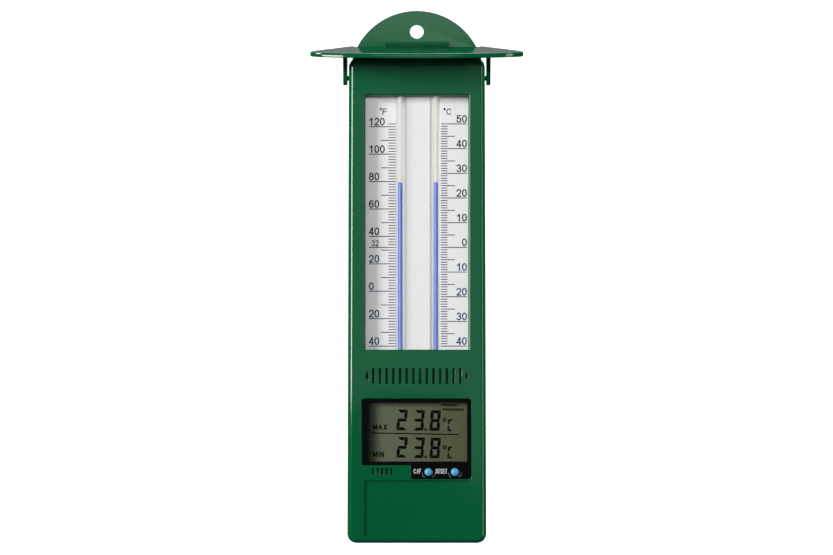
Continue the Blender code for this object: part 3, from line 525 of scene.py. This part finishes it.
def cameraAndLight():
    # camera straight in front, level with the middle of the object
    scene = bpy.context.scene
    camera = {"side": -0.15 * mm, "height": -111.8 * mm, "distance": 1022 * mm, "lens": 96.9,
              "sensor": 36, "nearest": 10 * mm}
    data = bpy.data.cameras.new("camera")
    data.lens = camera["lens"]
    data.sensor_width = camera["sensor"]
    data.clip_start = camera["nearest"]
    made = bpy.data.objects.new("camera", data)
    made.location = (camera["side"], -camera["distance"], camera["height"])
    made.rotation_euler = (math.pi / 2, 0, 0)
    scene.collection.objects.link(made)
    scene.camera = made

    scene.view_settings.view_transform = "Standard"
    scene.view_settings.look = "None"
    worldLight = 0.11          # the world looks white, but lights the object only this much
    world = bpy.data.worlds.new("studio")
    world.use_nodes = True
    scene.world = world
    seen = Wire(world.node_tree).node("ShaderNodeLightPath")
    lighting = seen.node("ShaderNodeLightPath", None, None, 2)
    plug(world.node_tree.nodes["Background"], Color=(1, 1, 1, 1),
         Strength=seen + lighting * worldLight)

    # each light's place, what it is aimed at, its size and its power; "shade" ones light the
    # object but aren't mirrored in it, and "reflection" ones are only mirrored
    lights = {
        "key": ((-2.46, -1.54, 1.05), (0, 0, -0.11), (0.85, 0.85), 86, "both"),
        "front": ((0.0, -2.5, 0.60), (0, 0, -0.11), (0.9, 0.7), 28, "shade"),
        "leftStrip": ((-0.80, -1.10, -0.06), (0, 0, -0.06), (0.50, 0.36), 10, "reflection"),
        "rightStrip": ((0.95, -1.0, -0.11), (0, 0, -0.11), (0.25, 0.9), 3.5, "reflection"),
        "frontPanel": ((0.03, -1.15, -0.083), (0.03, 0, -0.083), (0.30, 0.296), 0.10, "reflection"),
        "sidePanel": ((0.079, -1.15, -0.115), (0.079, 0, -0.115), (0.07, 0.38), 0.038,
                      "reflection"),
        "lugPanel": ((0.0, -1.15, 0.178), (0.0, 0, 0.178), (0.50, 0.124), 0.25, "reflection"),
        "rightFill": ((2.3, 0.35, 0.1), (0, 0, -0.11), (0.9, 1.2), 34, "shade"),
        "backFill": ((-0.9, 2.3, 0.5), (0, 0, -0.11), (1.2, 0.9), 34, "shade"),
        "above": ((0, 0.9, 1.0), (0, 0, -0.05), (1.4, 0.8), 8, "both")}
    for name, (place, target, size, power, use) in lights.items():
        lamp = bpy.data.lights.new(name, "AREA")
        lamp.shape = "RECTANGLE"
        lamp.size, lamp.size_y = size
        lamp.energy = power
        light = bpy.data.objects.new(name, lamp)
        light.location = place
        light.visible_diffuse = use != "reflection"
        light.visible_glossy = use != "shade"
        x, y, z = np.array(target) - np.array(place)
        light.rotation_euler = (math.atan2(math.hypot(x, y), -z), 0, math.atan2(-x, y))
        scene.collection.objects.link(light)


def floorAndBackdrop():
    # floor below the hanging object, and behind it a backdrop that turns up in a quarter circle
    room = {"level": -0.8, "front": -2.6, "seam": 0.25, "back": 0.9, "radius": 0.9, "top": 2.2,
            "half": 3.0, "glow": 0.75}
    turn = np.linspace(0, np.pi / 2, 24)
    wall = room["back"] + room["radius"]
    sweepY = np.concatenate(([room["seam"]], room["back"] + room["radius"] * np.sin(turn), [wall]))
    sweepZ = np.concatenate(([room["level"]], room["level"] + room["radius"] * (1 - np.cos(turn)),
                             [room["top"]]))
    lines = {"floor": (np.array([room["front"], room["seam"]]), np.full(2, room["level"])),
             "backdrop": (sweepY, sweepZ)}
    material, shader, place = newMaterial("pale_floor")
    cloud = place.noise(0.5, 1)
    seen = place.node("ShaderNodeLightPath")          # bright to look at, dim when mirrored
    pale = cloud.mixed((0.78, 0.78, 0.78, 1), (0.84, 0.84, 0.84, 1))
    plug(shader, Base_Color=seen.mixed((0.12, 0.12, 0.12, 1), pale), Roughness=0.8,
         Emission_Color=seen.mixed((0.2, 0.2, 0.2, 1), (1, 1, 1, 1)),
         Emission_Strength=room["glow"])
    for name, (y, z) in lines.items():
        count = len(y)
        points = np.concatenate([np.stack((np.full_like(y, x), y, z), 1)
                                 for x in (-room["half"], room["half"])])
        faces = [[i, count + i, count + i + 1, i + 1] for i in range(count - 1)]
        mesh = bpy.data.meshes.new(name)
        mesh.from_pydata(points.tolist(), [], faces)
        mesh.materials.append(material)
        mesh.shade_smooth()
        made = bpy.data.objects.new(name, mesh)
        made.visible_diffuse = False          # it throws no light back
        made.visible_glossy = name == "backdrop"          # the floor isn't mirrored
        bpy.context.scene.collection.objects.link(made)


# each piece is its CAD node, its name, its body and the angle from which an edge stays sharp
mouldings = {"green": (0.002, 0.104, 0.037),
             "pieces": (("front_housing", "housing_shell", "case", 40),
                        ("back_cover", "back_shell", "case", 40),
                        ("rain_hood", "hood_visor", "hood", 40),
                        ("battery_door", "door_panel", "door", 12))}


def caseAndHood():
    for i, (node, name, body, facets) in enumerate(mouldings["pieces"]):
        finish = greenPlastic(f"green_{name}", mouldings["green"], i * 0.3)
        rebuilt(node, name, body, finish, facets)


# heights and places of the marks: each scale's lines start near the tube and end further out
scale = {"zero": -98.3 * mm, "degree": 1.106 * mm, "line": 0.38 * mm, "lift": 0.50 * mm,
         "digits": {"height": 3.5 * mm, "width": 2.2 * mm, "stroke": 0.54 * mm, "gap": 0.27 * mm},
         "freezing": {"height": 2.7 * mm, "width": 1.5 * mm, "stroke": 0.36 * mm, "gap": 0.2 * mm},
         "signs": {"height": 2.8 * mm, "width": 2.1 * mm, "stroke": 0.42 * mm, "gap": 0.35 * mm},
         "celsius": {"first": -40, "last": 50, "near": 10.7 * mm, "one": 13.7 * mm,
                     "five": 17.1 * mm, "ten": 22.4 * mm, "sign": (12.0 * mm, -38.9 * mm)},
         "fahrenheit": {"first": -40, "last": 122, "frost": 32, "near": -9.5 * mm,
                        "two": -12.7 * mm, "ten": -16.0 * mm, "twenty": -21.5 * mm,
                        "small": -20.3 * mm, "sign": (-16.6 * mm, -38.9 * mm)}}


def heightOf(celsius):
    # height of a temperature on both scales: the zero's height and one degree's length for each
    return scale["zero"] + scale["degree"] * celsius


def scaleMarks(front):
    # lines and numbers of both scales; warm ones in black and frosty ones in navy
    half, lift = scale["line"] / 2, scale["lift"]
    lines, words = {"black": [], "navy": []}, {"black": [], "navy": []}
    c, f = scale["celsius"], scale["fahrenheit"]
    for degrees in range(c["first"], c["last"] + 1):
        ink = "black" if degrees >= 0 else "navy"
        end = c["ten"] if degrees % 10 == 0 else c["five"] if degrees % 5 == 0 else c["one"]
        level = heightOf(degrees)
        lines[ink].append((c["near"], end, level - half, level + half))
        if degrees % 10 == 0:
            words[ink].append(lettering(str(abs(degrees)), scale["digits"],
                                        (c["ten"], level + lift), front, "RIGHT"))
    for degrees in range(f["first"], f["last"] + 1, 2):
        ink = "black" if degrees >= f["frost"] else "navy"
        long = degrees % 20 == 0 or degrees == f["frost"]
        end = f["twenty"] if long else f["ten"] if degrees % 10 == 0 else f["two"]
        level = heightOf((degrees - f["frost"]) / 1.8)
        lines[ink].append((end, f["near"], level - half, level + half))
        if degrees == f["frost"]:
            words[ink].append(lettering(str(degrees), scale["freezing"],
                                        (f["small"], level + lift), front))
        elif long:
            words[ink].append(lettering(str(abs(degrees)), scale["digits"],
                                        (f["twenty"], level + lift), front))
    for text, side in (("°C", c), ("°F", f)):
        words["black"].append(lettering(text, scale["signs"], side["sign"], front))
    inks = {"black": printedInk("ink_black", (0.010, 0.010, 0.012)),
            "navy": printedInk("ink_navy", (0.006, 0.018, 0.075))}
    for ink, material in inks.items():
        points, faces = slabs(lines[ink], front, front - inkDepth)
        newPiece(f"scale_lines_{ink}", points, faces, material, "case", False)
        points, faces = joined(words[ink])
        newPiece(f"scale_numbers_{ink}", points, faces, material, "case", False)


# the neck's heights are measured from the top of the bulb; below the "dark" height the liquid's
# colour is painted near black as shade
glass = {"wall": 0.93 * mm, "shoulder": 0.35 * mm, "bulb": 1.75 * mm, "bulbWall": 0.35 * mm,
         "bulbHeight": 11.5 * mm, "stemSlack": 0.04 * mm, "bulbSlack": 0.05 * mm, "meniscus": 0.3,
         "neck": {"stem": 1.2 * mm, "bore": 0.8 * mm, "bulb": -0.4 * mm, "pool": -0.5 * mm,
                  "thread": 0.9 * mm, "dark": 1.5 * mm}}


def tube(side):
    # glass tube: wall and bore as one turned skin, with the bulb at its foot; the liquid is a
    # second skin that stands clear of the glass by the slack
    low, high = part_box(f"glass_tube_{side}")
    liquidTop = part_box(f"liquid_{side}")[1].z
    place = ((low.x + high.x) / 2, (low.y + high.y) / 2, 0)
    radius = (high.x - low.x) / 2
    bore = radius - glass["wall"]
    inner = glass["bulb"] - glass["bulbWall"]
    bulbTop = low.z + glass["bulbHeight"]
    neck = {part: bulbTop + rise for part, rise in glass["neck"].items()}
    turn = np.linspace(0, np.pi / 2, 8)
    crown = np.stack((radius - glass["shoulder"] * (1 - np.cos(turn)),
                      high.z - glass["shoulder"] * (1 - np.sin(turn))), 1)
    profile = np.vstack((bowl(glass["bulb"], low.z), (glass["bulb"], bulbTop),
                         (radius, neck["stem"]), crown, (bore, high.z),
                         (bore, neck["bore"]), (inner, neck["bulb"]),
                         bowl(inner, low.z + glass["bulbWall"])[::-1]))
    points, faces = turnedSurface(profile, place, "Z", 56)
    material = tubeGlass(f"glass_{side}", place[0], bore, bulbTop, liquidTop)
    made = newPiece(f"tube_{side}", points, faces, material, "case")
    made.visible_shadow = False          # clear glass and liquid leave no shadow on the plate
    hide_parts(f"glass_tube_{side}")

    thread = bore - glass["stemSlack"]
    pool = inner - glass["bulbSlack"]
    surface = np.stack((thread * np.cos(turn) + poleGap,
                        liquidTop - thread * glass["meniscus"] * (1 - np.sin(turn))), 1)
    profile = np.vstack((bowl(pool, low.z + glass["bulbWall"] + glass["bulbSlack"]),
                         (pool, neck["pool"]), (thread, neck["thread"]), surface))
    points, faces = turnedSurface(profile, place, "Z", 40)
    material = blueLiquid(f"liquid_{side}_blue", neck["dark"])
    column = newPiece(f"column_{side}", points, faces, material, "case")
    column.visible_shadow = False
    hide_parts(f"liquid_{side}")


# the plate's painted shade lines beside the raised strip's edges: (x, half width, how dark)
plateLook = {"white": (0.86, 0.86, 0.865), "stripRise": 0.7 * mm,
             "paintedShadeLines": ((-5.1 * mm, 1.1 * mm, 0.45), (-4.4 * mm, 3.5 * mm, 0.12),
                       (6.1 * mm, 0.8 * mm, 0.3))}


def scaleAndTubes():
    finish = whitePlastic("white_plate", plateLook["white"], plateLook["paintedShadeLines"])
    rebuilt("scale_plate", "plate", "case", finish)
    # the raised strip is the plate's foremost face, and the scales lie behind it
    scaleMarks(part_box("scale_plate")[0].y + plateLook["stripRise"])
    for side in ("fahrenheit", "celsius"):
        tube(side)


lcd = {"slant": 0.075, "gap": 0.06 * mm, "relief": 0.015 * mm, "turn": -0.018,
       "rows": (-180.25 * mm, -192.5 * mm), "shown": ("2", "3", "8"), "words": ("MAX", "MIN"),
       "digits": (-9.2 * mm, -1.6 * mm, 5.6 * mm),
       "digit": {"width": 4.5 * mm, "height": 9.2 * mm, "pen": 1.35 * mm},
       "unit": {"width": 2.3 * mm, "height": 5.4 * mm, "pen": 0.85 * mm}, "unitLeft": 13.6 * mm,
       "point": (3.35 * mm, 4.4 * mm, 1.0 * mm),
       "degree": {"x": 12.35 * mm, "up": 5.0 * mm, "radius": 0.62 * mm, "pen": 0.48 * mm},
       "line": (-20.5 * mm, 18.7 * mm, -181.97 * mm, -181.47 * mm),
       "print": ((11.6 * mm, 17.6 * mm, -169.1 * mm), (11.6 * mm, 20.6 * mm, -171.1 * mm)),
       "bar": {"step": 0.95 * mm, "long": 0.70 * mm, "tall": 1.05 * mm}, "wordLeft": -19.6 * mm,
       "word": {"height": 2.5 * mm, "width": 1.55 * mm, "stroke": 0.50 * mm, "gap": 0.42 * mm}}


def segmentShapes(digit, left, bottom, width, height, pen):
    # seven-segment digit as pointed bars inside a box of width by height, that leans to the right:
    # x grows by the slant times the height above its foot
    half, gap = pen / 2, lcd["gap"]
    middle = height / 2
    ends = {"a": ((0, height), (width, height)), "g": ((0, middle), (width, middle)),
            "d": ((0, 0), (width, 0)), "f": ((0, middle), (0, height)),
            "b": ((width, middle), (width, height)), "e": ((0, 0), (0, middle)),
            "c": ((width, 0), (width, middle))}
    lit = {"2": "abged", "3": "abgcd", "8": "abcdefg", "C": "aefd"}[digit]
    shapes = []
    for name in lit:
        (x0, z0), (x1, z1) = ends[name]
        if z0 == z1:          # a bar across, with a point at each end or, at top and foot, a slope
            z = {"a": height - half, "g": middle, "d": half}[name]
            x0, x1 = x0 + gap, x1 - gap
            bar = [(x0, z), (x0 + half, z - half), (x1 - half, z - half), (x1, z),
                   (x1 - half, z + half), (x0 + half, z + half)]
            if name == "a":
                bar = [(x0 + pen, z - half), (x1 - pen, z - half), (x1, z + half), (x0, z + half)]
            if name == "d":
                bar = [(x0, z - half), (x1, z - half), (x1 - pen, z + half), (x0 + pen, z + half)]
        else:          # an upright, with a slope at the digit's corner and a point at its middle
            onLeft, upper = x0 == 0, z0 > 0
            x = x0 + half if onLeft else x0 - half
            outer, inner = (x - half, x + half) if onLeft else (x + half, x - half)
            low = z0 + gap + (half / 2 if upper else 0)
            high = z1 - gap - (0 if upper else half / 2)
            bar = [(outer, low + half if upper else low),
                   (inner, low + half if upper else low + pen),
                   (inner, high - pen if upper else high - half),
                   (outer, high if upper else high - half)]
            bar.insert(1 if upper else -1, (x, low if upper else high))
        shapes.append([(left + px + lcd["slant"] * pz, bottom + pz) for px, pz in bar])
    return shapes


def display():
    # bezel, panel and clear pane, and on the panel's face its segments, words, line and print
    panelLow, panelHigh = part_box("lcd_panel")
    front = panelLow.y
    back = front - lcd["relief"]
    rebuilt("lcd_bezel", "display_bezel", "case",
            blackPlastic("black_bezel", 0.26))
    rebuilt("lcd_panel", "display_panel", "case",
            lcdGlass("lcd_face", panelLow, panelHigh))
    paint(clearPane("pane"), "display_window")
    parts = [slabs([lcd["line"]], front, back)]
    left, right, tall = lcd["point"]
    degree, bar = lcd["degree"], lcd["bar"]
    for row, word in zip(lcd["rows"], lcd["words"]):
        shapes = segmentShapes("C", lcd["unitLeft"], row, **lcd["unit"])
        for digit, x in zip(lcd["shown"], lcd["digits"]):
            shapes += segmentShapes(digit, x, row, **lcd["digit"])
        parts += [flatShape(outline, front, back) for outline in shapes]
        parts.append(slabs([(left, right, row, row + tall)], front, back))
        circle = arc(degree["x"], row + degree["up"], degree["radius"], degree["radius"], 0, 360)
        parts.append(stroke(circle, degree["pen"], front, back))
        parts.append(lettering(word, lcd["word"], (lcd["wordLeft"], row), front))
    for left, right, level in lcd["print"]:          # two rows of print too small to read
        starts = np.arange(left, right, bar["step"])
        parts.append(slabs([(x, x + bar["long"], level, level + bar["tall"]) for x in starts],
                           front, back))
    points, faces = joined(parts)
    points = np.array(points)
    points[:, 2] += points[:, 0] * lcd["turn"]          # the glass sits a little askew in its frame
    newPiece("display_segments", points, faces, printedInk("lcd_ink", (0.0015, 0.002, 0.0015), 0.0),
             "case", False)


legends = {"level": -199.3 * mm, "height": 2.15 * mm, "stroke": 0.30 * mm, "collarRise": 0.3 * mm,
           "words": {"C/F": {"left": -1.5 * mm, "width": 1.15 * mm, "gap": 0.24 * mm},
                     "RESET": {"left": 8.45 * mm, "width": 0.90 * mm, "gap": 0.20 * mm}},
           # painted highlights on the collars' rims, drawn as grey arcs
           "collarHighlights": {"radius": 2.95 * mm, "pen": 0.2 * mm, "angles": ((186, 232), (308, 354))}}


def buttonLegends():
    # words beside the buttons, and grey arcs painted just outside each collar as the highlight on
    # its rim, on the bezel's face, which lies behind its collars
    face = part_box("lcd_bezel")[0].y + legends["collarRise"]
    parts = [lettering(text, {**legends, **word}, (word["left"], legends["level"]), face)
             for text, word in legends["words"].items()]
    points, faces = joined(parts)
    newPiece("button_legends", points, faces, printedInk("ink_white", (0.62, 0.60, 0.62)), "case",
             False)
    # painted highlight: grey arcs that stand in for the light caught on each collar's rim
    parts, collarHighlights = [], legends["collarHighlights"]
    for name in ("cf", "reset"):
        low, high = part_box(f"button_{name}")
        x, z = (low.x + high.x) / 2, (low.z + high.z) / 2
        parts += [stroke(arc(x, z, collarHighlights["radius"], collarHighlights["radius"], start, end), collarHighlights["pen"], face,
                         face - inkDepth) for start, end in collarHighlights["angles"]]
    points, faces = joined(parts)
    newPiece("button_collar_highlights", points, faces, printedInk("painted_collar_highlight", (0.22, 0.24, 0.23)), "case",
             False)


cap = {"radius": 1.75 * mm, "flange": 0.6 * mm, "dome": 0.85 * mm}


def buttons():
    # each cap is turned from its flange, its side and a domed crown, a quarter of an ellipse:
    # (r cos a, rim - dome sin a)
    for name, body in (("cf", "unit_button"), ("reset", "reset_button")):
        low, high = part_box(f"button_{name}")
        place = ((low.x + high.x) / 2, 0, (low.z + high.z) / 2)
        edge, collar = (high.x - low.x) / 2, high.y - cap["flange"]
        turn = np.linspace(0, np.pi / 2, 12)
        dome = np.stack((cap["radius"] * np.cos(turn) + poleGap,
                         low.y + cap["dome"] * (1 - np.sin(turn))), 1)
        profile = np.vstack(((edge, high.y), (edge, collar), (cap["radius"], collar), dome))
        points, faces = turnedSurface(profile, place, "Y", 48)
        made = newPiece(f"button_cap_{name}", points, faces, buttonBlue(f"blue_{name}"), body)
        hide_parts(f"button_{name}")


def hiddenPieces():
    # screws, electronics, battery and wires, on the back or inside the case
    steel = platedSteel("zinc_plate")
    for i in range(1, 5):
        rebuilt(f"cover_screw_{i}", f"case_screw_{i}", "case", steel)
    paint(steel, "board_screw_1", "board_screw_2", "board_screw_3", "board_screw_4", "crystal",
          "battery_spring", "battery_contact_plate")
    paint(circuitLaminate("solder_mask"), "circuit_board")
    paint(stripedRubber("striped_rubber"), "zebra_strip")
    paint(blackPlastic("black_inner", 0.4), "controller_chip", "thermistor", "switch_base_cf",
          "switch_base_reset")
    paint(whitePlastic("white_plunger", (0.75, 0.75, 0.72)), "switch_plunger_cf",
          "switch_plunger_reset")
    paint(insulation("red_wire", (0.42, 0.012, 0.010)), "wire_positive")
    paint(insulation("black_wire", (0.012, 0.012, 0.012)), "wire_negative")
    cellLow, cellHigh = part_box("battery")
    rebuilt("battery", "cell", "case",
            batteryJacket("cell_jacket", cellLow.x, cellHigh.x))


cameraAndLight()
floorAndBackdrop()
print("camera, light and floor")
caseAndHood()
print("case and hood")
scaleAndTubes()
print("scale and tubes")
display()
print("display")
buttonLegends()
buttons()
print("buttons")
hiddenPieces()
print("hidden pieces")
